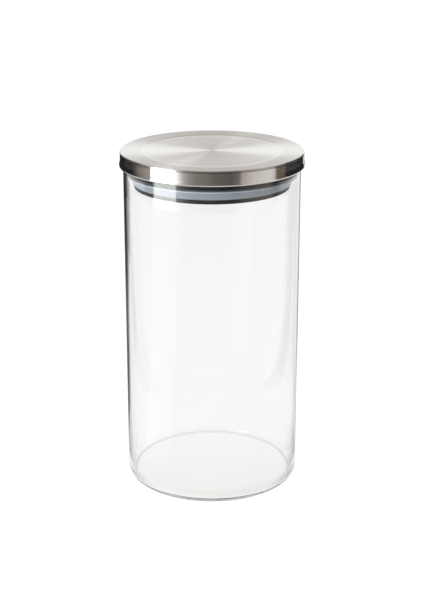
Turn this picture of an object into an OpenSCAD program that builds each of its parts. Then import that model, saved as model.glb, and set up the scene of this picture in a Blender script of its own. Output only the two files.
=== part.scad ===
// Lidded glass canister: a straight borosilicate jar closed by a push-in lid.
// The lid is a pressed steel cap bonded on a moulded plastic insert, and a
// silicone ring stretched into the insert's groove seals against the glass.
// Frame: the origin is the centre of the foot, +Z is up, sizes in millimetres.

/* [Jar] */
// Outside diameter of the glass
jar_d = 110; // [90:1:130]
// Height of the glass from its foot to its rim
jar_h = 209.5; // [120:0.5:260]
// Thickness of the glass wall
glass_t = 2; // [1.4:0.1:3]
// Thickness of the glass base
base_t = 2.6; // [2:0.1:5]
// Outside radius of the heel, where the base turns up into the wall
heel_r = 4.6; // [3.5:0.1:8]
// Inside radius of the heel
heel_inner_r = 3; // [1:0.1:6]
// Width of the flat ring that the jar stands on
foot_w = 6; // [3:0.5:12]
// Height by which the middle of the base is pushed up
push_up = 1.2; // [0.4:0.1:3]

/* [Steel cap] */
// Thickness of the steel sheet
sheet_t = 0.6; // [0.4:0.1:0.8]
// Outside radius of the rolled hem at the foot of the band
hem_r = 0.9; // [0.9:0.1:1.4]
// How far the hem hangs below the rim of the glass
hem_drop = 4.5; // [3:0.5:8]
// How much narrower the band is at the top than at the hem, on the radius
band_draft = 0.4; // [0:0.1:1]
// Outside radius of the edge between the band and the top
edge_r = 1.2; // [0.9:0.1:2]
// Width of the flat border around the pressed recess
border_w = 15.4; // [8:0.2:25]
// Depth of the pressed recess in the top
recess_depth = 1; // [0.4:0.1:1.4]
// Width of the slope between the border and the recess
slope_w = 2; // [1:0.1:4]

/* [Insert] */
// How far the plug reaches below the rim of the glass
plug_depth = 17; // [15:0.1:30]
// Gap between the plug and the bore of the glass
plug_gap = 4; // [3:0.1:6]
// How much smaller the lip below the ring is than the plug, on the radius
lip_step = 0.5; // [0:0.1:1.5]
// Radius on the bottom edge of the lip
lip_edge_r = 0.8; // [0.3:0.1:1.5]
// Thickness of the moulded walls
mould_t = 1.8; // [1.2:0.1:2.4]
// Thickness of the flange that rests on the rim of the glass
flange_t = 1.8; // [1.2:0.1:3]
// Height of the bonding ring and its ribs above the flange
bond_rise = 2; // [1.8:0.1:4]
// Number of stiffening ribs inside the plug
rib_count = 8; // [3:1:16]
// Thickness of each stiffening rib
rib_t = 1.4; // [1:0.1:2.5]
// Radius of the hub in the middle of the plug
hub_r = 5; // [3:0.5:12]

/* [Sealing ring] */
// Distance from the rim of the glass down to the top of the ring
seal_drop = 9.3; // [6:0.1:9.5]
// Height of the ring's skirt
seal_h = 4.5; // [4:0.1:6]
// Thickness of the ring's web and skirt
seal_t = 1.2; // [0.8:0.1:1.6]
// How much the skirt narrows towards its bottom, on the radius
seal_taper = 1; // [0:0.1:1.5]
// Height of the ring's root, which sits in the groove of the insert
root_h = 2.6; // [2:0.1:3.5]
// Depth of the groove in the plug
groove_depth = 2.6; // [1.5:0.1:3.5]

/* [Clearances] */
// Gap between the glass and the rolled hem
hem_gap = 0.6; // [0.3:0.1:1.5]
// Gap between the flange and the rim of the glass
seat_gap = 0.1; // [0.05:0.05:0.5]
// Gap between the sealing ring and the bore of the glass
seal_gap = 0.2; // [0.1:0.05:0.5]
// Gap between the sealing ring and the walls of its groove
groove_gap = 0.05; // [0.02:0.01:0.2]
// Gap between the edge of the flange and the band of the cap
flange_gap = 0.2; // [0.1:0.05:0.5]

/* [Hidden] */

// Flat steps that a quarter turn of a rounded edge is drawn with
quarter_steps = 8;
// Flat steps across the shallow dome of the base
dome_steps = 12;
$fn = 180;

// Jar
jar_r = jar_d / 2;
bore_r = jar_r - glass_t;
rim_r = glass_t / 2;
foot_r = jar_r - heel_r;
dome_r = foot_r - foot_w;

// Steel cap, from the hem up
hem_centre_r = jar_r + hem_gap + hem_r;
hem_z = jar_h - hem_drop;
band_foot_r = hem_centre_r + hem_r;
cap_r = band_foot_r - band_draft;
recess_top_r = cap_r - border_w;
recess_floor_r = recess_top_r - slope_w;

// Heights of the lid, stacked on the rim of the glass
seat_z = jar_h + seat_gap;
flange_z = seat_z + flange_t;
bond_z = flange_z + bond_rise;
recess_z = bond_z + sheet_t;
top_z = recess_z + recess_depth;

// Insert
plug_r = bore_r - plug_gap;
lip_r = plug_r - lip_step;
groove_r = plug_r - groove_depth;
flange_r = cap_r - sheet_t - flange_gap;
plug_z = jar_h - plug_depth;
pan_z = plug_z + mould_t;
upper_hollow_r = plug_r - mould_t;
lower_hollow_r = groove_r - mould_t;
// The bonding ring stands under the flat floor of the recess, clear of its bend
bond_r = recess_floor_r - 2 * sheet_t;

// Sealing ring and its groove
seal_r = bore_r - seal_gap;
seal_z = jar_h - seal_drop;
web_z = seal_z - seal_t;
skirt_z = seal_z - seal_h;
skirt_r = seal_r - seal_taper;
tip_r = seal_t / 2;
root_inner_r = groove_r + groove_gap;
root_outer_r = plug_r + groove_gap;
root_z = seal_z - root_h;
groove_top_z = seal_z + groove_gap;
groove_floor_z = root_z - groove_gap;

// Points along an arc around centre, from one angle to another
function arc(centre, r, from, to, steps = quarter_steps) =
    [for (i = [0 : steps]) centre + r * [cos(from + (to - from) * i / steps), sin(from + (to - from) * i / steps)]];

// Points of the shallow dome of the base, from the middle out to dome_r
function dome(floor_z) = [
    for (i = [0 : dome_steps])
        let (r = dome_r * i / dome_steps)
        [r, floor_z + push_up * (1 - pow(r / dome_r, 2))]
];

// The same points in the opposite order
function backwards(points) = [for (i = [len(points) - 1 : -1 : 0]) points[i]];

// Borosilicate jar with a fire-polished rim, a rounded heel and a pushed-up base
module glass_jar() {
    color([0.86, 0.92, 0.93, 0.4])
    rotate_extrude()
    polygon(concat(
        dome(0),
        arc([foot_r, heel_r], heel_r, -90, 0),
        arc([jar_r - rim_r, jar_h - rim_r], rim_r, 0, 180, 2 * quarter_steps),
        arc([bore_r - heel_inner_r, base_t + heel_inner_r], heel_inner_r, 0, -90),
        backwards(dome(base_t))
    ));
}

// Steel cap of one sheet: recessed top, drafted band, and a hem rolled inwards and up
module steel_cap() {
    edge_centre = [cap_r - edge_r, top_z - edge_r];
    hem_centre = [hem_centre_r, hem_z + hem_r];
    roll_end = -225;
    color([0.78, 0.77, 0.75])
    rotate_extrude()
    polygon(concat(
        [[0, bond_z], [recess_floor_r, bond_z], [recess_top_r, top_z - sheet_t]],
        arc(edge_centre, edge_r - sheet_t, 90, 0),
        arc(hem_centre, hem_r - sheet_t, 0, roll_end, 2 * quarter_steps),
        arc(hem_centre, hem_r, roll_end, 0, 2 * quarter_steps),
        arc(edge_centre, edge_r, 0, 90),
        [[recess_top_r, top_z], [recess_floor_r, recess_z], [0, recess_z]]
    ));
}

// Plastic insert: hollow plug with a groove, a flange on the glass and a ribbed inside
module lid_insert() {
    color([0.06, 0.06, 0.065])
    union() {
        rotate_extrude() polygon(concat(
            [[0, plug_z]],
            arc([lip_r - lip_edge_r, plug_z + lip_edge_r], lip_edge_r, -90, 0),
            [
                [lip_r, groove_floor_z], [groove_r, groove_floor_z],
                [groove_r, groove_top_z], [plug_r, groove_top_z],
                [plug_r, seat_z], [flange_r, seat_z],
                [flange_r, flange_z], [upper_hollow_r, flange_z],
                [upper_hollow_r, groove_top_z + mould_t],
                [lower_hollow_r, groove_top_z + mould_t],
                [lower_hollow_r, pan_z], [0, pan_z]
            ]
        ));
        translate([0, 0, plug_z]) cylinder(r = hub_r, h = bond_z - plug_z);
        bonding_ring();
        for (i = [0 : rib_count - 1]) rotate(i * 360 / rib_count) rib();
    }
}

// Ring that stands on the pan of the plug and is bonded to the underside of the cap
module bonding_ring() {
    translate([0, 0, plug_z]) difference() {
        cylinder(r = bond_r, h = bond_z - plug_z);
        translate([0, 0, -1]) cylinder(r = bond_r - mould_t, h = bond_z - plug_z + 2);
    }
}

// One radial rib: up to the cap inside the bonding ring, up to the flange outside it
module rib() {
    outer_r = lower_hollow_r + mould_t / 2;
    translate([0, -rib_t / 2, plug_z + mould_t / 2]) {
        cube([bond_r - mould_t / 2, rib_t, bond_z - plug_z - mould_t / 2]);
        cube([outer_r, rib_t, flange_z - plug_z - mould_t / 2]);
    }
}

// Silicone ring: a root in the groove, a web and a tapered skirt along the glass
module sealing_ring() {
    color([0.6, 0.66, 0.72])
    rotate_extrude()
    polygon(concat(
        [[root_inner_r, root_z], [root_outer_r, root_z], [root_outer_r, web_z], [seal_r - seal_t, web_z]],
        arc([skirt_r - tip_r, skirt_z + tip_r], tip_r, -180, 0, 2 * quarter_steps),
        arc([seal_r - tip_r, seal_z - tip_r], tip_r, 0, 90),
        [[root_inner_r, seal_z]]
    ));
}

glass_jar();
steel_cap();
lid_insert();
sealing_ring();
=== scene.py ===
"""The lidded glass canister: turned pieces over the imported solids, their finishes, and a plain studio."""
import math

import bmesh
import bpy
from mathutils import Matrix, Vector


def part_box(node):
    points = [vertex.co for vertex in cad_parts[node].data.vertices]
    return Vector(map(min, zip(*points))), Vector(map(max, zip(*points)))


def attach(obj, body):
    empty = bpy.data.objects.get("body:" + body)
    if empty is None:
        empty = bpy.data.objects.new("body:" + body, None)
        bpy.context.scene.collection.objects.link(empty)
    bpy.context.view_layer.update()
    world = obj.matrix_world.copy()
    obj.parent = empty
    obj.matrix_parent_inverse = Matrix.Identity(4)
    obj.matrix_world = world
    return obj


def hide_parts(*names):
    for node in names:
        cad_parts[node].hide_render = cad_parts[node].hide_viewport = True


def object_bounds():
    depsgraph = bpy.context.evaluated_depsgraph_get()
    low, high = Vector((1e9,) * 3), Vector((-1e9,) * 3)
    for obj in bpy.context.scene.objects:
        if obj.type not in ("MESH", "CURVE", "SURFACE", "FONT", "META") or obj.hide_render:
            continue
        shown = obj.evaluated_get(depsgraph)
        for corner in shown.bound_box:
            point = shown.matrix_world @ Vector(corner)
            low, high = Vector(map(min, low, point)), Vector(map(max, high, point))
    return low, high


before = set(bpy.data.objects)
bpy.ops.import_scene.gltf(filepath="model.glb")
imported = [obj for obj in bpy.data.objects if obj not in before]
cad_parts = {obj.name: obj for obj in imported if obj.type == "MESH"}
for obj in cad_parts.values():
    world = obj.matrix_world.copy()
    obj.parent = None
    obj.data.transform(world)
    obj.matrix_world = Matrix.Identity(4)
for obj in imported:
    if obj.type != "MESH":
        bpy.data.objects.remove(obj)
cad_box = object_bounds()
scene = bpy.context.scene

# ---------------------------------------------------------------- sizes, in metres
MM = 0.001
jar_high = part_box("glass_jar")[1]
cap_low, cap_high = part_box("steel_cap")
plug_low, plug_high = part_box("lid_insert")
seal_low, seal_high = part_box("sealing_ring")

# Jar
JAR_R, JAR_H = jar_high.x, jar_high.z
GLASS_T, BASE_T = 2 * MM, 2.6 * MM
HEEL_R, HEEL_INNER_R = 4.6 * MM, 3 * MM
FOOT_W, PUSH_UP = 6 * MM, 1.2 * MM

# Cap: the hem is drawn up a little from the solid's, and widens the band's foot into a bead
BEAD_R, TOP_Z, HEM_Z = cap_high.x, cap_high.z, cap_low.z + 0.5 * MM
SHEET_T = 0.6 * MM
BAND_R = BEAD_R - 0.5 * MM
HEM_CENTRE_R, HEM_HALF_W, HEM_HALF_H = BEAD_R - 0.9 * MM, 0.9 * MM, 0.95 * MM
BEAD_RISE = 3 * MM
EDGE_R = 1 * MM
RECESS_TOP_R, RECESS_FLOOR_R = 44.6 * MM, 42.6 * MM
RECESS_DEPTH = 0.45 * MM
BEND_R = 2.2 * MM

# Insert
PLUG_Z, BOND_Z = plug_low.z + 0.4 * MM, plug_high.z
SEAT_Z, FLANGE_Z = JAR_H + 0.1 * MM, JAR_H + 1.9 * MM
FLANGE_R, PLUG_R, LIP_R, GROOVE_R = 55.8 * MM, 49 * MM, 48.5 * MM, 46.4 * MM
MOULD_T, BOND_R, HUB_R = 1.8 * MM, 38.4 * MM, 5 * MM
RIB_COUNT, RIB_T = 8, 1.4 * MM
LIP_EDGE_R = 0.8 * MM
# Shallow dimple that the mould's gate leaves in the middle of the underside
GATE_R, GATE_EDGE_W, GATE_DEPTH = 1.1 * MM, 0.4 * MM, 0.5 * MM

# Sealing ring: a thin fin against the glass over a body that narrows to its foot
SEAL_R, SEAL_Z, SKIRT_Z = seal_high.x, seal_high.z + 1.3 * MM, seal_low.z + 0.1 * MM
SEAL_BODY_R, SEAL_FOOT_R, SEAL_FIN_T, ROOT_H = 51.2 * MM, 49.5 * MM, 0.8 * MM, 2.6 * MM
SEAL_EDGE_R, SKIRT_GAP = 0.35 * MM, 0.12 * MM
GAP = 0.05 * MM

# Faces round each turned piece, and steps across the dome of the base
TURNS, DOME_STEPS = 256, 24
# Points of an outline that are closer than this are one point, and so are points of a mesh
SAME_POINT, SAME_VERTEX = 1e-9, 1e-6


# ---------------------------------------------------------------- node helpers
class Value:
    """A number or a vector in a node tree. Arithmetic on it adds the Math nodes."""

    def __init__(self, nodes, socket):
        self.nodes, self.socket = nodes, socket

    def math(self, operation, *others):
        return self.nodes.add("ShaderNodeMath", {"operation": operation}, dict(enumerate((self, *others))))

    def __add__(self, other):
        return self.math("ADD", other)

    def __sub__(self, other):
        return self.math("SUBTRACT", other)

    def __rsub__(self, other):
        return self.nodes.number(other).math("SUBTRACT", self)

    def __mul__(self, other):
        return self.math("MULTIPLY", other)

    def __truediv__(self, other):
        return self.math("DIVIDE", other)

    __radd__, __rmul__ = __add__, __mul__

    def rise(self, low, high):
        """0 below low and 1 above high, with a smooth rise between them."""
        sockets = {"Value": self, "From Min": low, "From Max": high}
        return self.nodes.add("ShaderNodeMapRange", {"interpolation_type": "SMOOTHSTEP"}, sockets)

    def band(self, low, risen, falling, high):
        """1 between risen and falling, 0 below low and above high."""
        return self.rise(low, risen) * (1 - self.rise(falling, high))


class Nodes:
    """Adds nodes to one node tree."""

    def __init__(self, tree):
        self.tree = tree
        tree.nodes.clear()

    def add(self, kind, settings=None, sockets=None, out=0):
        """A node with these settings and these values or links in its sockets, as its output."""
        node = self.tree.nodes.new(kind)
        for name, value in (settings or {}).items():
            if name == "stops":
                ramp = node.color_ramp.elements
                while len(ramp) < len(value):
                    ramp.new(1)
                for stop, (place, colour) in zip(ramp, value):
                    stop.position, stop.color = place, colour
            else:
                setattr(node, name, value)
        for name, value in (sockets or {}).items():
            if isinstance(value, Value):
                self.tree.links.new(value.socket, node.inputs[name])
            else:
                node.inputs[name].default_value = value
        return Value(self, node.outputs[out]) if node.outputs else node

    def number(self, value):
        """A plain number as a value."""
        return self.add("ShaderNodeMath", {"operation": "ADD"}, {0: value, 1: 0.0})

    def place(self):
        """Object coordinates as three values."""
        spot = self.add("ShaderNodeTexCoord", out="Object")
        return [self.add("ShaderNodeSeparateXYZ", sockets={0: spot}, out=axis) for axis in range(3)]

    def vector(self, x, y, z):
        return self.add("ShaderNodeCombineXYZ", sockets={0: x, 1: y, 2: z})

    def noise(self, vector, scale, detail=3.0, roughness=0.5):
        sockets = {"Vector": vector, "Scale": scale, "Detail": detail, "Roughness": roughness}
        return self.add("ShaderNodeTexNoise", {"noise_dimensions": "3D"}, sockets)

    def blend(self, share, first, second):
        settings = {"data_type": "RGBA"}
        return self.add("ShaderNodeMix", settings, {0: share, 6: first, 7: second}, out=2)


def finish(name):
    """A new material and the helper for its tree."""
    material = bpy.data.materials.new(name)
    material.use_nodes = True
    return material, Nodes(material.node_tree)


def shade(nodes, shader, into="ShaderNodeOutputMaterial"):
    """Joins the shader to the output of its tree."""
    nodes.add(into, sockets={"Surface": shader})


def from_axis(x, y):
    """Distance from the axis."""
    return (x * x + y * y).math("SQRT")


def share_of(part, radius):
    """How far the direction from the axis points along one way, from -1 to 1, and 0 on the axis."""
    return part / (radius + 0.01 * MM)


def light_path(nodes, *names):
    """The largest of these outputs of the Light Path node."""
    rays = [nodes.add("ShaderNodeLightPath", out=name) for name in names]
    most = rays[0]
    for ray in rays[1:]:
        most = most.math("MAXIMUM", ray)
    return most


def after_mirror(nodes):
    """1 for a ray that has met a mirroring surface, 0 for the others."""
    return light_path(nodes, "Glossy Depth").math("MINIMUM", 1.0)


# ---------------------------------------------------------------- outlines of the turned pieces
def arc(centre, radii, start, end, steps=12):
    """Points (r, z) along part of an ellipse, by angles in degrees."""
    a, b = radii if isinstance(radii, tuple) else (radii, radii)
    turn = [math.radians(start + (end - start) * i / steps) for i in range(steps + 1)]
    return [(centre[0] + a * math.cos(t), centre[1] + b * math.sin(t)) for t in turn]


def ease(start, end, steps=10):
    """Points of a soft S from start to end, running along z."""
    points = []
    for i in range(steps + 1):
        t = i / steps
        s = t * t * (3 - 2 * t)
        points.append((start[0] + (end[0] - start[0]) * s, start[1] + (end[1] - start[1]) * t))
    return points


def softened(corners, steps=6):
    """Corners (r, z, radius) with each radius above 0 drawn as an arc tangent to both sides."""
    points = []
    for i, (r, z, radius) in enumerate(corners):
        if not radius or i in (0, len(corners) - 1):
            points.append((r, z))
            continue
        back = (corners[i - 1][0] - r, corners[i - 1][1] - z)
        ahead = (corners[i + 1][0] - r, corners[i + 1][1] - z)
        back, ahead = [(x / math.hypot(x, y), y / math.hypot(x, y)) for x, y in (back, ahead)]
        half = math.acos(max(-1, min(1, back[0] * ahead[0] + back[1] * ahead[1]))) / 2
        reach = radius / math.tan(half)
        a = (r + back[0] * reach, z + back[1] * reach)
        b = (r + ahead[0] * reach, z + ahead[1] * reach)
        middle = (back[0] + ahead[0], back[1] + ahead[1])
        size = radius / math.sin(half) / math.hypot(*middle)
        centre = (r + middle[0] * size, z + middle[1] * size)
        first = math.atan2(a[1] - centre[1], a[0] - centre[0])
        last = math.atan2(b[1] - centre[1], b[0] - centre[0])
        sweep = (last - first + math.pi) % (2 * math.pi) - math.pi
        for k in range(steps + 1):
            t = first + sweep * k / steps
            points.append((centre[0] + radius * math.cos(t), centre[1] + radius * math.sin(t)))
    return points


def held(points, hold):
    """The same outline with a point beside each end of its long straight runs: edges then shade crisply."""
    out = [points[0]]
    for (r0, z0), (r1, z1) in zip(points, points[1:]):
        length = math.hypot(r1 - r0, z1 - z0)
        if length > 4 * hold:
            for t in (hold / length, 1 - hold / length):
                out.append((r0 + (r1 - r0) * t, z0 + (z1 - z0) * t))
        if length > SAME_POINT:
            out.append((r1, z1))
    return out


def jar_outline():
    """The glass from the middle of its foot, up the outside, over the rim and down to its floor."""
    foot_r = JAR_R - HEEL_R
    dome_r = foot_r - FOOT_W
    rim_r = GLASS_T / 2
    bore_r = JAR_R - GLASS_T
    shares = [i / DOME_STEPS for i in range(DOME_STEPS + 1)]
    dome = [(dome_r * share, PUSH_UP * (1 - share ** 2)) for share in shares]
    return (
        dome
        + arc((foot_r, HEEL_R), HEEL_R, -90, 0, steps=20)
        + arc((JAR_R - rim_r, JAR_H - rim_r), rim_r, 0, 180, steps=20)
        + arc((bore_r - HEEL_INNER_R, BASE_T + HEEL_INNER_R), HEEL_INNER_R, 0, -90, steps=18)
        + [(r, z + BASE_T) for r, z in reversed(dome)]
    )


def cap_outline():
    """The sheet from the middle of its underside, round the hem and back to the middle of its top."""
    hem_centre = (HEM_CENTRE_R, HEM_Z + HEM_HALF_H)
    recess_z = TOP_Z - RECESS_DEPTH
    under = softened([
        (0, recess_z - SHEET_T, 0), (RECESS_FLOOR_R, recess_z - SHEET_T, BEND_R),
        (RECESS_TOP_R, TOP_Z - SHEET_T, BEND_R), (BAND_R - EDGE_R, TOP_Z - SHEET_T, 0),
    ])
    top = softened([
        (BAND_R - EDGE_R, TOP_Z, 0), (RECESS_TOP_R, TOP_Z, BEND_R),
        (RECESS_FLOOR_R, recess_z, BEND_R), (0, recess_z, 0),
    ])
    edge_centre = (BAND_R - EDGE_R, TOP_Z - EDGE_R)
    bead_top = hem_centre[1] + BEAD_RISE
    hem_in = (HEM_HALF_W - SHEET_T, HEM_HALF_H - SHEET_T)
    roll_end = -215
    return (
        under
        + arc(edge_centre, EDGE_R - SHEET_T, 90, 0)
        + ease((BAND_R - SHEET_T, bead_top), (BEAD_R - SHEET_T, hem_centre[1]))
        + arc(hem_centre, hem_in, 0, roll_end, steps=20)[1:]
        + arc(hem_centre, (HEM_HALF_W, HEM_HALF_H), roll_end, 0, steps=30)
        + ease((BEAD_R, hem_centre[1]), (BAND_R, bead_top))[1:]
        + arc(edge_centre, EDGE_R, 0, 90)
        + top
    )


def plug_outline():
    """The insert with its bonding ring and hub, from the middle of its underside round to the hub's top."""
    soft = 0.3 * MM
    pan_z = PLUG_Z + MOULD_T
    groove_top = SEAL_Z + GAP
    groove_floor = SEAL_Z - ROOT_H - GAP
    hollow_r = GROOVE_R - MOULD_T
    return softened([
        (0, PLUG_Z + GATE_DEPTH, 0), (GATE_R, PLUG_Z + GATE_DEPTH, soft / 2),
        (GATE_R + GATE_EDGE_W, PLUG_Z, soft / 2),
        (LIP_R, PLUG_Z, LIP_EDGE_R), (LIP_R, groove_floor, soft), (GROOVE_R, groove_floor, soft),
        (GROOVE_R, groove_top, soft), (PLUG_R, groove_top, soft), (PLUG_R, SEAT_Z, soft),
        (FLANGE_R, SEAT_Z, soft), (FLANGE_R, FLANGE_Z, soft), (PLUG_R - MOULD_T, FLANGE_Z, soft),
        (PLUG_R - MOULD_T, groove_top + MOULD_T, soft), (hollow_r, groove_top + MOULD_T, soft),
        (hollow_r, pan_z, soft), (BOND_R, pan_z, soft), (BOND_R, BOND_Z, soft),
        (BOND_R - MOULD_T, BOND_Z, soft), (BOND_R - MOULD_T, pan_z, soft), (HUB_R, pan_z, soft),
        (HUB_R, BOND_Z, soft), (0, BOND_Z, 0),
    ])


def seal_outline():
    """A root in the groove, a thin fin against the bore and a body that narrows towards its foot."""
    soft = 0.2 * MM
    root_in, skirt_in, root_z = GROOVE_R + GAP, LIP_R + SKIRT_GAP, SEAL_Z - ROOT_H
    tip = (SEAL_FOOT_R - skirt_in) / 2
    start = (root_in, (root_z + SEAL_Z) / 2, 0)
    fin_z = SEAL_Z - SEAL_FIN_T
    points = softened([
        start, (root_in, root_z, soft), (skirt_in, root_z, soft), (skirt_in, SKIRT_Z + tip, 0),
    ])
    points += arc((skirt_in + tip, SKIRT_Z + tip), tip, -180, 0, steps=16)[1:-1]
    return points + softened([
        (SEAL_FOOT_R, SKIRT_Z + tip, 0), (SEAL_BODY_R, fin_z - 2 * soft, 2 * soft),
        (SEAL_R, fin_z, soft), (SEAL_R, SEAL_Z, SEAL_EDGE_R), (root_in, SEAL_Z, soft), start,
    ])


# ---------------------------------------------------------------- turning and repeating
def tree_with(name, numbers):
    """A Geometry Nodes tree with a geometry, the named numbers and a material to put in."""
    tree = bpy.data.node_groups.new(name, "GeometryNodeTree")
    tree.is_modifier = True
    add = tree.interface.new_socket
    add("Outline", in_out="INPUT", socket_type="NodeSocketGeometry")
    for label in numbers:
        add(label, in_out="INPUT", socket_type="NodeSocketInt")
    add("Finish", in_out="INPUT", socket_type="NodeSocketMaterial")
    add("Piece", in_out="OUTPUT", socket_type="NodeSocketGeometry")
    nodes = Nodes(tree)
    given = tree.nodes.new("NodeGroupInput")
    return tree, nodes, {s.name: Value(nodes, s) for s in given.outputs if s.name}


def close_tree(nodes, geometry, material):
    """Ends a tree: instances become plain faces, and the faces get their material."""
    whole = nodes.add("GeometryNodeRealizeInstances", sockets={0: geometry})
    painted = nodes.add("GeometryNodeSetMaterial", sockets={"Geometry": whole, "Material": material})
    nodes.add("NodeGroupOutput", sockets={0: painted})


def turning_tree():
    """Turns an outline in the XZ plane round Z: a grid with one row for each point of the outline."""
    tree, nodes, given = tree_with("turned_piece", ["Turns"])
    rows = nodes.add("GeometryNodeAttributeDomainSize", sockets={0: given["Outline"]})
    columns = given["Turns"] + 1
    sheet = nodes.add("GeometryNodeMeshGrid", sockets={"Vertices X": columns, "Vertices Y": rows})
    index = nodes.add("GeometryNodeInputIndex")
    column = (index / rows).math("FLOOR")
    row = index - column * rows
    spot = nodes.add("GeometryNodeInputPosition")
    found = nodes.add("GeometryNodeSampleIndex", {"data_type": "FLOAT_VECTOR", "domain": "POINT"},
                      {"Geometry": given["Outline"], "Value": spot, "Index": row})
    radius = nodes.add("ShaderNodeSeparateXYZ", sockets={0: found}, out=0)
    height = nodes.add("ShaderNodeSeparateXYZ", sockets={0: found}, out=2)
    angle = column * (2 * math.pi) / given["Turns"]
    place = nodes.vector(radius * angle.math("COSINE"), radius * angle.math("SINE"), height)
    bent = nodes.add("GeometryNodeSetPosition", sockets={"Geometry": sheet, "Position": place})
    closed = nodes.add("GeometryNodeMergeByDistance", sockets={"Geometry": bent, "Distance": SAME_VERTEX})
    smooth = nodes.add("GeometryNodeSetShadeSmooth", sockets={"Geometry": closed, "Shade Smooth": True})
    close_tree(nodes, smooth, given["Finish"])
    return tree


def spoke_tree():
    """Repeats a shape round Z."""
    tree, nodes, given = tree_with("spoke_set", ["Count"])
    hubs = nodes.add("GeometryNodePoints", sockets={"Count": given["Count"]})
    index = nodes.add("GeometryNodeInputIndex")
    angle = index * (2 * math.pi) / given["Count"]
    turn = nodes.add("FunctionNodeEulerToRotation", sockets={0: nodes.vector(0.0, 0.0, angle)})
    spokes = nodes.add("GeometryNodeInstanceOnPoints",
                       sockets={"Points": hubs, "Instance": given["Outline"], "Rotation": turn})
    close_tree(nodes, spokes, given["Finish"])
    return tree


def made_by(tree, name, vertices, edges, faces, number, material):
    """Runs a tree on a small mesh and keeps the result as a plain mesh with outward faces."""
    start = bpy.data.meshes.new(name)
    start.from_pydata(vertices, edges, faces)
    piece = bpy.data.objects.new(name, start)
    scene.collection.objects.link(piece)
    modifier = piece.modifiers.new("shape", "NODES")
    modifier.node_group = tree
    for item in tree.interface.items_tree:
        if item.in_out == "INPUT" and item.socket_type == "NodeSocketInt":
            modifier[item.identifier] = number
        elif item.in_out == "INPUT" and item.socket_type == "NodeSocketMaterial":
            modifier[item.identifier] = material
    bpy.context.view_layer.update()
    shaped = piece.evaluated_get(bpy.context.evaluated_depsgraph_get())
    mesh = bpy.data.meshes.new_from_object(shaped)
    piece.modifiers.remove(modifier)
    piece.data = mesh
    mesh.name = name
    bpy.data.meshes.remove(start)
    work = bmesh.new()
    work.from_mesh(mesh)
    bmesh.ops.recalc_face_normals(work, faces=work.faces)
    work.to_mesh(mesh)
    work.free()
    return piece


def turned(name, outline, material, hold):
    """A closed piece turned from its outline, held at this distance from the ends of its straight runs."""
    points = held(outline, hold)
    vertices = [(r, 0, z) for r, z in points]
    edges = [(i, i + 1) for i in range(len(vertices) - 1)]
    return made_by(turning, name, vertices, edges, [], TURNS, material)


def rib_mesh():
    """One rib as a prism: up to the cap inside the bonding ring, up to the flange outside it."""
    low = PLUG_Z + MOULD_T / 2
    inner, outer = BOND_R - MOULD_T / 2, GROOVE_R - MOULD_T / 2
    side = [(0, low), (outer, low), (outer, FLANGE_Z), (inner, FLANGE_Z), (inner, BOND_Z), (0, BOND_Z)]
    count = len(side)
    vertices = [(x, y, z) for y in (-RIB_T / 2, RIB_T / 2) for x, z in side]
    faces = [tuple(range(count)), tuple(range(2 * count - 1, count - 1, -1))]
    faces += [(i, i + count, (i + 1) % count + count, (i + 1) % count) for i in range(count)]
    return vertices, faces


# ---------------------------------------------------------------- finishes
def clear_glass():
    """Drawn glass: clear and faintly wavy, a touch greyer low down, with painted shade at its foot, its heel
    and the line where floor meets wall. Lamps shine through it.
    """
    material, nodes = finish("clear_glass")
    x, y, z = nodes.place()
    waves = nodes.noise(nodes.vector(x, y, z * 0.35), 38.0, 1.5)
    ripple = nodes.add("ShaderNodeBump", sockets={"Strength": 0.012, "Distance": 0.6 * MM, "Height": waves})
    radius = from_axis(x, y)
    sideways = share_of(x, radius).math("ABSOLUTE")
    # How much of each grey: the lower glass a little, then painted shade on the front of the base, on the
    # front of the heel (most at the sides and to the right), and on the back of the line where floor meets
    # wall
    low = 1 - z.rise(0.0, 9 * MM)
    foot = low * radius.band(36 * MM, 49 * MM, 50 * MM, 53 * MM) * (1 - y.rise(-46 * MM, -16 * MM))
    heel = (1 - z.rise(5 * MM, 11 * MM)) * radius.rise(48 * MM, 53 * MM) * (1 - y.rise(0.0, 14 * MM))
    heel = heel * (sideways.rise(0.62, 0.95) * 0.75 + 0.14 + x * (0.165 / JAR_R))
    floor_line_painted_shade = radius.band(49.4 * MM, 50.0 * MM, 50.4 * MM, 51.2 * MM) * (1 - z.rise(4 * MM, 5 * MM))
    floor_line_painted_shade = floor_line_painted_shade * y.rise(-30 * MM, 10 * MM)
    tint_and_painted_shade = nodes.blend(low, (0.995, 0.998, 0.996, 1), (0.982, 0.984, 0.982, 1))
    # The next three greys are painted shade
    tint_and_painted_shade = nodes.blend(foot, tint_and_painted_shade, (0.94, 0.935, 0.91, 1))
    tint_and_painted_shade = nodes.blend(heel, tint_and_painted_shade, (0.66, 0.66, 0.64, 1))
    tint_and_painted_shade = nodes.blend(floor_line_painted_shade, tint_and_painted_shade, (0.60, 0.60, 0.60, 1))
    glass = nodes.add("ShaderNodeBsdfPrincipled", sockets={
        "Base Color": tint_and_painted_shade, "Roughness": 0.0, "IOR": 1.47,
        "Transmission Weight": 1.0, "Normal": ripple,
    })
    lamp_ray = light_path(nodes, "Is Shadow Ray")
    clear = nodes.add("ShaderNodeBsdfTransparent", sockets={"Color": (0.93, 0.94, 0.94, 1)})
    shade(nodes, nodes.add("ShaderNodeMixShader", sockets={0: lamp_ray, 1: glass, 2: clear}))
    return material


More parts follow.
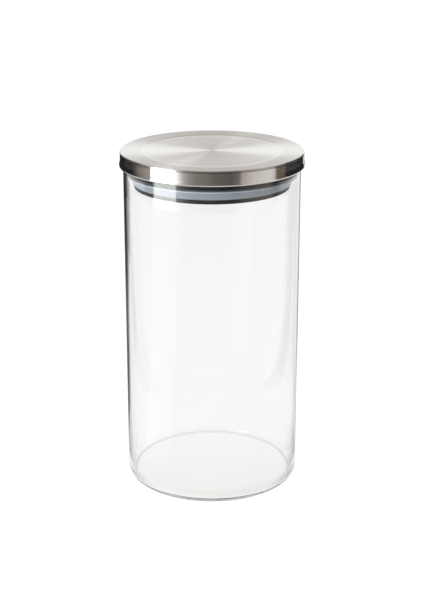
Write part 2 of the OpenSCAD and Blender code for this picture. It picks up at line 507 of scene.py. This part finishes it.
def brushed_steel():
    """Stainless sheet, brushed round its axis, with a painted highlight round the recess, painted shade on
    its rougher border and a painted line of shade just under the top edge.
    """
    material, nodes = finish("brushed_steel")
    x, y, z = nodes.place()
    radius = from_axis(x, y)
    east, north = share_of(x, radius), share_of(y, radius)
    across = radius + z
    # Brushing: fine and coarse rings, and faint rays across them
    fine = nodes.noise(nodes.vector(across * 900.0, east * 2.2, north * 2.2), 1.0, 5.0, 0.6)
    coarse = nodes.noise(nodes.vector(across * 160.0, east * 1.1, north * 1.1), 1.0, 3.0, 0.5)
    rays = nodes.noise(nodes.vector(east * 7.0, north * 7.0, across * 6.0), 1.0, 3.0, 0.6)
    flat = z.rise(TOP_Z - 1.5 * EDGE_R, TOP_Z - 0.8 * EDGE_R)
    far, near = north.rise(0.3, 1.0), (0 - north).rise(0.3, 1.0)
    # The border, with its painted shade, and the painted highlight beside it sit a little towards the front
    lean = radius + far * 1.2 * MM - near * 3.6 * MM
    border = lean.rise(RECESS_TOP_R - 1.6 * MM, RECESS_TOP_R) * flat
    painted_bend_highlight = flat * lean.band(
        RECESS_FLOOR_R - 3.0 * MM, RECESS_FLOOR_R - 1.4 * MM, RECESS_FLOOR_R + 0.3 * MM, RECESS_TOP_R)
    painted_shade_line = z.band(TOP_Z - 1.8 * MM, TOP_Z - 1.4 * MM, TOP_Z - 0.9 * MM, TOP_Z - 0.5 * MM)
    grain = fine * 0.6 + coarse * 0.25 + rays * 0.15 + radius.rise(0.0, RECESS_TOP_R) * flat * 0.3
    colour = nodes.blend(grain, (0.65, 0.635, 0.615, 1), (0.90, 0.89, 0.875, 1))
    # Painted shade on the border, strongest at the back and front
    colour = nodes.blend(border * (0.1 + north * north * 0.25 + far * 0.15), colour, (0.60, 0.58, 0.56, 1))
    # Painted highlight round the recess edge, strongest at the front and back
    colour = nodes.blend(painted_bend_highlight * (0.12 + north * north * 0.8), colour, (1.0, 0.995, 0.985, 1))
    # Painted line of shade just under the top edge
    colour = nodes.blend(painted_shade_line * 0.75, colour, (0.26, 0.245, 0.23, 1))
    rough = 0.06 + fine * 0.03 + rays * 0.02 + border * 0.02 + flat * 0.195
    scratch = nodes.add("ShaderNodeBump", sockets={
        "Strength": 0.15, "Distance": 0.02 * MM, "Height": fine * (1 - flat * 0.7),
    })
    steel = nodes.add("ShaderNodeBsdfPrincipled", sockets={
        "Base Color": colour, "Metallic": 1.0, "Roughness": rough, "Anisotropic": 1.0,
        "Anisotropic Rotation": 0.25, "Normal": scratch,
    })
    shade(nodes, steel)
    return material


def black_plastic():
    """Moulded plastic: near black, satin, with a fine spark-eroded grain and faint flow marks."""
    material, nodes = finish("black_plastic")
    x, y, z = nodes.place()
    spot = nodes.vector(x, y, z)
    grain = nodes.noise(spot, 2600.0, 2.0)
    flow = nodes.noise(nodes.vector(x, y, z * 3.0), 55.0, 4.0, 0.6)
    colour = nodes.blend(flow, (0.007, 0.007, 0.0075, 1), (0.013, 0.013, 0.014, 1))
    rough = 0.32 + flow * 0.12 + grain * 0.08
    texture = nodes.add("ShaderNodeBump", sockets={"Strength": 0.35, "Distance": 0.03 * MM, "Height": grain})
    shade(nodes, nodes.add("ShaderNodeBsdfPrincipled", sockets={
        "Base Color": colour, "Roughness": rough, "IOR": 1.49, "Normal": texture,
    }))
    return material


def blue_grey_silicone():
    """Translucent silicone: soft blue grey, matte and milky, with a painted highlight along its top and
    painted shade towards the right.
    """
    material, nodes = finish("blue_grey_silicone")
    x, y, z = nodes.place()
    spot = nodes.vector(x, y, z)
    cloud = nodes.noise(spot, 90.0, 3.0)
    bloom = nodes.noise(spot, 1500.0, 2.0)
    fin = z.rise(SEAL_Z - 1.3 * MM, SEAL_Z - 0.9 * MM)
    right_painted_shade = x.rise(-30 * MM, 60 * MM)
    colour = nodes.blend(cloud, (0.25, 0.285, 0.325, 1), (0.31, 0.345, 0.385, 1))
    # Painted highlight along the top of the ring
    colour = nodes.blend(fin * 0.7, colour, (0.52, 0.57, 0.61, 1))
    # Painted shade, darker towards the right
    colour = nodes.blend(right_painted_shade * 0.5, colour, (0.19, 0.215, 0.245, 1))
    rough = 0.28 + cloud * 0.08 + bloom * 0.06
    skin = nodes.add("ShaderNodeBump", sockets={"Strength": 0.2, "Distance": 0.03 * MM, "Height": bloom})
    shade(nodes, nodes.add("ShaderNodeBsdfPrincipled", sockets={
        "Base Color": colour, "Roughness": rough, "IOR": 1.41, "Subsurface Weight": 0.35,
        "Subsurface Radius": (0.8, 1.0, 1.2), "Subsurface Scale": 1.2 * MM, "Normal": skin,
    }))
    return material


# ---------------------------------------------------------------- the pieces
turning, spokes = turning_tree(), spoke_tree()
glass, steel, plastic, silicone = clear_glass(), brushed_steel(), black_plastic(), blue_grey_silicone()

jar_glass = turned("jar_glass", jar_outline(), glass, hold=0.4 * MM)
cap_steel = turned("cap_steel", cap_outline(), steel, hold=0.1 * MM)
plug_plastic = turned("plug_plastic", plug_outline(), plastic, hold=0.1 * MM)
seal_silicone = turned("seal_silicone", seal_outline(), silicone, hold=0.08 * MM)
rib_vertices, rib_faces = rib_mesh()
plug_ribs = made_by(spokes, "plug_ribs", rib_vertices, [], rib_faces, RIB_COUNT, plastic)

for piece, body, slot, node in (
    (jar_glass, "jar", "clear_glass", "glass_jar"),
    (cap_steel, "lid", "brushed_steel", "steel_cap"),
    (plug_plastic, "lid", "black_plastic", "lid_insert"),
    (plug_ribs, "lid", "black_plastic", "lid_insert"),
    (seal_silicone, "lid", "silicone", "sealing_ring"),
):
    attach(piece, body)
    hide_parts(node)
# Light that bounces between matt surfaces passes the glass by
jar_glass.visible_diffuse = False

# ---------------------------------------------------------------- camera
# Metres out in front of the axis and up from the floor, and degrees of downward tilt
CAMERA_OUT, CAMERA_Z, CAMERA_DOWN = 0.8391, 0.4052, 18.965
# Focal length and width of the sensor in millimetres
LENS, SENSOR_W = 83.27, 36

camera = bpy.data.objects.new("camera", bpy.data.cameras.new("camera"))
scene.collection.objects.link(camera)
camera.location = (0, -CAMERA_OUT, CAMERA_Z)
camera.rotation_euler = (math.radians(90 - CAMERA_DOWN), 0, 0)
camera.data.lens, camera.data.sensor_width = LENS, SENSOR_W
scene.camera = camera

# ---------------------------------------------------------------- studio
WHITE = (1, 1, 1, 1)
# Strength of the cards' light: their colours are shares of it
PEAK = 7.0
# The floor reaches this far each way, and the cards start just above it
FLOOR_REACH, CARD_Z = 6, 0.001
# Walls on a cone: its radius at the floor, how much wider it is for each metre up, and faces round it
WALL_FOOT_R, WALL_LEAN, WALL_STEPS = 0.062, 0.73, 160
# The rows of walls: name, degrees round to each side, lowest and highest point
WALL_ROWS = (("low_walls", 112, CARD_Z, 0.15), ("walls", 140, 0.15, 0.6))
# Heights on the walls: the step from pale to dark, and over it at the sides a dark and a bright line
STEP_Z, DARK_LINE_Z, BRIGHT_LINE_Z = 0.155, 0.1572, 0.1612
# Corners of a cloth lying behind the canister: how far across, and how far behind
CLOTH_END = 1.2
CLOTH_CORNERS = ((0.045, 0.02), (0.069, 0.02), (1.13, CLOTH_END), (0.045, CLOTH_END))
# Upright flags, by the two ends of their feet
FLAG_TOP_Z = 0.19
FLAG_FEET = (((-0.13, 1.22), (-0.75, 1.05)), ((-1.0, 0.06), (-0.95, 0.52)))


def grey(level):
    """A neutral colour of this brightness on a card."""
    return (level / PEAK, level / PEAK, level / PEAK, 1)


def stage_mesh(name, vertices, faces, material):
    """A piece of the studio, as a plain mesh."""
    mesh = bpy.data.meshes.new(name)
    mesh.from_pydata(vertices, [], faces)
    mesh.materials.append(material)
    piece = bpy.data.objects.new(name, mesh)
    scene.collection.objects.link(piece)
    return piece


def floor():
    """Paper that is white to the eye, in mirrors and through glass, and keeps some of its own shadow."""
    material, nodes = finish("pale_floor")
    paper = nodes.add("ShaderNodeBsdfDiffuse", sockets={"Color": (0.8, 0.8, 0.8, 1)})
    eye = light_path(nodes, "Is Camera Ray")
    white = nodes.add("ShaderNodeEmission", sockets={"Color": WHITE, "Strength": 1.02 + eye * 0.13})
    seen = light_path(nodes, "Is Camera Ray", "Is Glossy Ray", "Is Transmission Ray")
    shade(nodes, nodes.add("ShaderNodeMixShader", sockets={0: seen * 0.8, 1: paper, 2: white}))
    corners = [(x * FLOOR_REACH, y * FLOOR_REACH, 0) for x, y in ((-1, -1), (1, -1), (1, 1), (-1, 1))]
    stage_mesh("floor", corners, [(0, 1, 2, 3)], material)


def mirrored_only(name, vertices, faces, paint, through=None):
    """A card that only mirrored rays meet, and rays through glass where the function through is 1."""
    material, nodes = finish(name)
    material.cycles.emission_sampling = "NONE"
    card = nodes.add("ShaderNodeEmission", sockets={"Color": paint(nodes), "Strength": PEAK})
    clear = nodes.add("ShaderNodeBsdfTransparent")
    shown = after_mirror(nodes)
    if through:
        shown = shown.math("MAXIMUM", light_path(nodes, "Is Transmission Ray") * through(nodes))
    shade(nodes, nodes.add("ShaderNodeMixShader", sockets={0: shown, 1: clear, 2: card}))
    piece = stage_mesh(name, vertices, faces, material)
    piece.visible_camera = piece.visible_diffuse = piece.visible_shadow = False


def stops_of(shades, low, high):
    """Ramp stops from (position, brightness or colour) pairs, where positions run from low to high."""
    stops = []
    for place, light in shades:
        colour = tuple(part / PEAK for part in light) + (1,) if isinstance(light, tuple) else grey(light)
        stops.append(((place - low) / (high - low), colour))
    return {"stops": stops}


def wall_paint(nodes):
    """Tones by degrees round from the front, darker high up and where a ray has met more than one mirror.

    The upper row is a softbox on the left, a dim room in front and black flags at both sides. The lower
    row is pale, with a dark line and a bright line over it at the sides.
    """
    x, y, z = nodes.place()
    around = x.math("ARCTAN2", 0 - y) * (180 / math.pi)
    upper = [
        (-142, 0.02), (-101, 0.02), (-97, (0.06, 0.055, 0.05)), (-91, (0.14, 0.125, 0.11)),
        (-85, (0.23, 0.20, 0.175)), (-80, (0.30, 0.275, 0.25)), (-69.5, (0.37, 0.35, 0.33)), (-68.5, 7.0),
        (-41, 7.0), (-39.3, 1.4), (-35.5, 1.05), (-33, (0.71, 0.71, 0.70)), (-30, (0.49, 0.485, 0.47)),
        (-24, (0.315, 0.305, 0.28)), (-15, (0.22, 0.205, 0.18)), (-3, (0.19, 0.17, 0.153)),
        (1, (0.15, 0.135, 0.12)), (10, (0.13, 0.118, 0.107)), (20, (0.108, 0.098, 0.089)),
        (28.5, (0.175, 0.162, 0.143)), (32, (0.45, 0.41, 0.365)), (45, (0.66, 0.62, 0.575)),
        (55, (0.72, 0.69, 0.65)), (65, (0.78, 0.75, 0.71)), (71, (0.68, 0.65, 0.61)),
        (75, (0.16, 0.13, 0.10)), (84, (0.13, 0.105, 0.085)), (88, (0.10, 0.09, 0.08)), (90, 0.02),
        (142, 0.02),
    ]
    lower = [
        (-142, 0.03), (-129, 0.05), (-123, 0.5), (-116, 0.85), (-71, 0.8), (-68, 1.15), (-40, 1.0),
        (-36, 0.68), (40, 0.68), (80, 0.85), (142, 0.95),
    ]
    turn = around / 360 + 0.5
    high, low = [
        nodes.add("ShaderNodeValToRGB", stops_of(tones, -180, 180), {0: turn}) for tones in (upper, lower)
    ]
    away = around.math("ABSOLUTE")
    side = away.rise(82, 85)
    dark_line = side * z.rise(DARK_LINE_Z, DARK_LINE_Z + 0.8 * MM) * (1 - away.rise(100, 107))
    bright_line = side * z.rise(BRIGHT_LINE_Z, BRIGHT_LINE_Z + 1 * MM) * (1 - away.rise(120, 126))
    bright_line = bright_line * (0.5 - around * (0.35 / 360))
    softbox = around.band(-71, -69, -41, -39)
    shaded = z.rise(0.30, 0.48) * 0.9 * (1 - softbox) + z.rise(0.24, 0.34) * 0.75 * softbox
    low = nodes.blend(1 - z.rise(0.0, 0.03), low, grey(0.62))
    low = nodes.blend(dark_line, low, grey(0.3))
    low = nodes.blend(bright_line, low, grey(2.0))
    high = nodes.blend(shaded, high, grey(0))
    step_z = STEP_Z + side * (0.0169 - away * (0.02 / 360))
    once = nodes.blend((z - step_z).rise(-1 * MM, 1 * MM), low, high)
    repeated = light_path(nodes, "Glossy Depth").math("GREATER_THAN", 1.5)
    return nodes.blend(repeated, once, grey(0.2))


def slant_of(across, behind):
    """How fast a line from the side of the glass spreads out on its way back to a place on a cloth."""
    return (across - JAR_R) / behind


def cloth_paint(nodes):
    """Tones by distance behind the canister and by slant.

    The left cloth is dark between soft pale edges. The right one is pale with a dark inner edge.
    """
    x, y, _ = nodes.place()
    left = [
        (0, 0.55), (0.03, 0.36), (0.055, 0.23), (0.10, 0.14), (0.17, 0.11), (0.26, 0.12), (0.4, 0.05),
        (0.7, 0.015), (CLOTH_END, 0.01),
    ]
    right = [(0, 0.5), (0.2, 0.85), (0.4, 0.88), (0.7, 0.85), (CLOTH_END, 0.8)]
    dark, pale = [
        nodes.add("ShaderNodeValToRGB", stops_of(tones, 0, CLOTH_END), {0: y / CLOTH_END})
        for tones in (left, right)
    ]
    slant = slant_of(x.math("ABSOLUTE"), y)
    outer = slant.rise(0.54, 0.64) * (1 - y.rise(0.22, 0.42) * 0.6)
    dark = nodes.blend(outer, dark, grey(0.8))
    dark = nodes.blend(slant.rise(-0.1, 0.24), grey(0.95), dark)
    inner = (1 - slant.rise(0.26, 0.34)) * y.rise(0.1, 0.25)
    pale = nodes.blend(inner, pale, grey(0.15))
    return nodes.blend(x.math("GREATER_THAN", 0.0), dark, pale)


def far_left(nodes):
    """1 on the strip of the left cloth that shows through the edge of the glass."""
    x, y, _ = nodes.place()
    return slant_of(0 - x, y).band(0.22, 0.26, 0.45, 0.5) * y.rise(0.40, 0.50)


def walls():
    """Walls round the front and sides, wider above than near the table."""
    for name, reach, low, high in WALL_ROWS:
        vertices = []
        for height in (low, high):
            radius = WALL_FOOT_R + WALL_LEAN * height
            for i in range(WALL_STEPS + 1):
                turn = math.radians(reach * (2 * i / WALL_STEPS - 1))
                vertices.append((radius * math.sin(turn), -radius * math.cos(turn), height))
        faces = [(i, i + 1, i + 2 + WALL_STEPS, i + 1 + WALL_STEPS) for i in range(WALL_STEPS)]
        mirrored_only(name, vertices, faces, wall_paint)


def cloths_and_flags():
    """A cloth on the table behind each side of the canister, and dark flags standing far off on the left."""
    pair = [(0, 1, 2, 3), (4, 5, 6, 7)]
    cloths = [(side * across, behind, CARD_Z) for side in (-1, 1) for across, behind in CLOTH_CORNERS]
    mirrored_only("cloths", cloths, pair, cloth_paint, far_left)
    flags = []
    for start, end in FLAG_FEET:
        flags += [(*start, CARD_Z), (*end, CARD_Z), (*end, FLAG_TOP_Z), (*start, FLAG_TOP_Z)]
    mirrored_only("flags", flags, pair, lambda nodes: (0.01, 0.01, 0.01, 1))


def sky():
    """White to the eye, slightly dimmer through glass, even for matt surfaces, bright low in mirrors."""
    world = bpy.data.worlds.new("studio")
    scene.world = world
    world.use_nodes = True
    world.cycles.sampling_method = "NONE"
    nodes = Nodes(world.node_tree)
    way = nodes.add("ShaderNodeTexCoord", out="Generated")
    back, up = [nodes.add("ShaderNodeSeparateXYZ", sockets={0: way}, out=axis) for axis in (1, 2)]
    mirrored = after_mirror(nodes)
    matt = light_path(nodes, "Is Diffuse Ray")
    room = nodes.blend(up.rise(0.28, 0.60), (0.99, 0.99, 0.985, 1), (0.68, 0.645, 0.605, 1))
    dim_front = (0 - back).rise(-0.1, 0.4) * (1 - up.rise(0.80, 0.98))
    room = nodes.blend(dim_front, room, (0.06, 0.055, 0.05, 1))
    clear = nodes.blend(light_path(nodes, "Is Transmission Ray"), WHITE, (0.945, 0.945, 0.945, 1))
    colour = nodes.blend(mirrored * (1 - matt), clear, room)
    light = nodes.add("ShaderNodeBackground", sockets={"Color": colour, "Strength": 1 - matt * 0.4})
    shade(nodes, light, "ShaderNodeOutputWorld")


def lamp(name, place, size, power, colour=(1, 1, 1)):
    """A soft square lamp aimed at the middle of the canister, which mirrors and glass don't show."""
    light = bpy.data.lights.new(name, "AREA")
    light.size, light.energy, light.color = size, power, colour
    holder = bpy.data.objects.new(name, light)
    scene.collection.objects.link(holder)
    holder.location = place
    aim = (cad_box[0] + cad_box[1]) / 2 - holder.location
    holder.rotation_euler = aim.to_track_quat("-Z", "Y").to_euler()
    holder.visible_glossy = holder.visible_transmission = False


floor()
walls()
cloths_and_flags()
sky()
lamp("top_left", (-0.6, 0.26, 1.34), size=0.45, power=5)
lamp("front_left", (-0.81, -0.81, 0.45), size=0.6, power=10.5)
lamp("right", (1.1, -0.5, 0.7), size=0.8, power=1.2, colour=(1.0, 0.97, 0.93))

scene.view_settings.view_transform = "Standard"
cycles = scene.cycles
cycles.max_bounces, cycles.transmission_bounces, cycles.glossy_bounces = 24, 24, 8
cycles.transparent_max_bounces = 16
